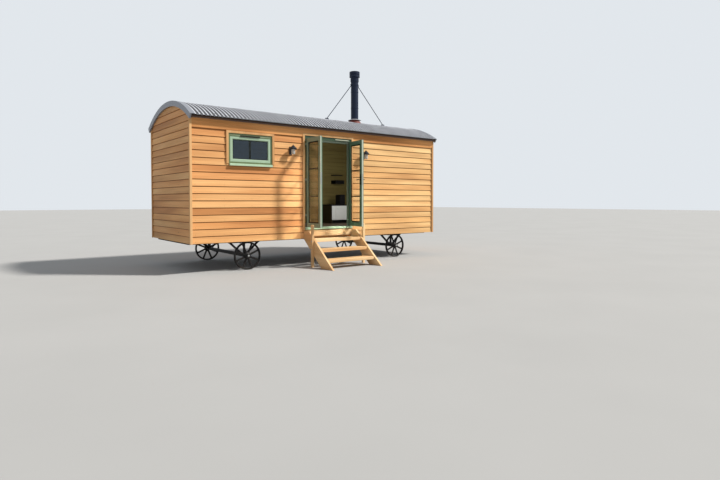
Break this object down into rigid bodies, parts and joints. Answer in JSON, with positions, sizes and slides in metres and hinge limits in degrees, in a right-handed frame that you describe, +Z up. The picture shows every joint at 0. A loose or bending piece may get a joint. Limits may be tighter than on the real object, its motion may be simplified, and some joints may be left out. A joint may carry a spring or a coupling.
{
  "type": "shepherds hut",
  "caption": "Boarded shepherd's hut with a barrel roof of corrugated steel, open double doors, timber steps, a stove flue and spoked iron wheels.",
  "frame": {"origin": "on the ground under the middle of the whole outline, steps and eaves included", "axes": "+X along the hut towards the flue's end, -Y out of the doorway over the steps, +Z up"},
  "size_m": [6.15, 3.4616, 4.3658],
  "materials": {
    "cladding": "oiled softwood boards",
    "trim_boards": "oiled softwood boards",
    "floor_boards": "lacquered boards",
    "roof_boards": "plain boards",
    "roof_metal": "matt coated corrugated steel",
    "light_green_paint": "satin paint",
    "dark_green_paint": "satin paint",
    "window_glass": "clear double glazing",
    "door_glass": "clear double glazing",
    "lamp_metal": "satin black paint",
    "flue_metal": "satin black paint",
    "flashing_rubber": "matt silicone",
    "stay_metal": "satin black paint",
    "step_timber": "planed softwood",
    "white_paint": "satin paint",
    "dark_wood": "satin",
    "chassis_paint": "satin black paint",
    "axle_steel": "satin black paint",
    "wheel_iron": "satin black paint"
  },
  "bodies": {
    "hut": {"chassis_rails": "chassis_paint", "chassis_cross_members": "chassis_paint", "left_axle": "axle_steel", "right_axle": "axle_steel", "axle_brackets": "chassis_paint", "floor_deck": "floor_boards", "front_wall_left": "cladding", "front_wall_right": "cladding", "front_wall_over_door": "cladding", "front_wall_under_door": "cladding", "rear_wall": "cladding", "left_end_wall": "cladding", "right_end_wall": "cladding", "corner_boards": "trim_boards", "eaves_boards": "trim_boards", "roof_deck": "roof_boards", "roof_sheets": "roof_metal", "left_verge_trim": "roof_metal", "right_verge_trim": "roof_metal", "window_surround": "trim_boards", "window_frame": "light_green_paint", "window_sash": "light_green_paint", "window_pane": "window_glass", "door_surround": "trim_boards", "door_frame": "dark_green_paint", "door_sill": "light_green_paint", "wall_lamps": "lamp_metal", "flue_pipe": "flue_metal", "flue_cowl": "flue_metal", "flue_flashing": "flashing_rubber", "flue_stays": "stay_metal", "left_stringer": "step_timber", "right_stringer": "step_timber", "step_treads": "step_timber", "step_posts": "step_timber", "interior_cupboard": "white_paint", "interior_shelf": "dark_wood"},
    "left_door": {"left_door_leaf": "dark_green_paint", "left_door_pane": "door_glass"},
    "right_door": {"right_door_leaf": "dark_green_paint", "right_door_pane": "door_glass"},
    "front_left_wheel": {"front_left_wheel": "wheel_iron"},
    "front_right_wheel": {"front_right_wheel": "wheel_iron"},
    "rear_left_wheel": {"rear_left_wheel": "wheel_iron"},
    "rear_right_wheel": {"rear_right_wheel": "wheel_iron"}
  },
  "joints": [
    {"name": "left_door_swing", "type": "hinge", "parent": "hut", "child": "left_door", "pos_m": [-0.6595, -0.694, 1.7], "axis": [0, 0, -1], "range_deg": [-92.5, 2.5]},
    {"name": "right_door_swing", "type": "hinge", "parent": "hut", "child": "right_door", "pos_m": [0.4955, -0.694, 1.7], "axis": [0, 0, 1], "range_deg": [-82, 13]},
    {"name": "front_left_wheel_spin", "type": "hinge", "parent": "hut", "child": "front_left_wheel", "pos_m": [-1.9, -0.561, 0.27], "axis": [0, 1, 0], "continuous": true},
    {"name": "front_right_wheel_spin", "type": "hinge", "parent": "hut", "child": "front_right_wheel", "pos_m": [1.9, -0.561, 0.27], "axis": [0, 1, 0], "continuous": true},
    {"name": "rear_left_wheel_spin", "type": "hinge", "parent": "hut", "child": "rear_left_wheel", "pos_m": [-1.9, 1.489, 0.27], "axis": [0, 1, 0], "continuous": true},
    {"name": "rear_right_wheel_spin", "type": "hinge", "parent": "hut", "child": "rear_right_wheel", "pos_m": [1.9, 1.489, 0.27], "axis": [0, 1, 0], "continuous": true}
  ]
}
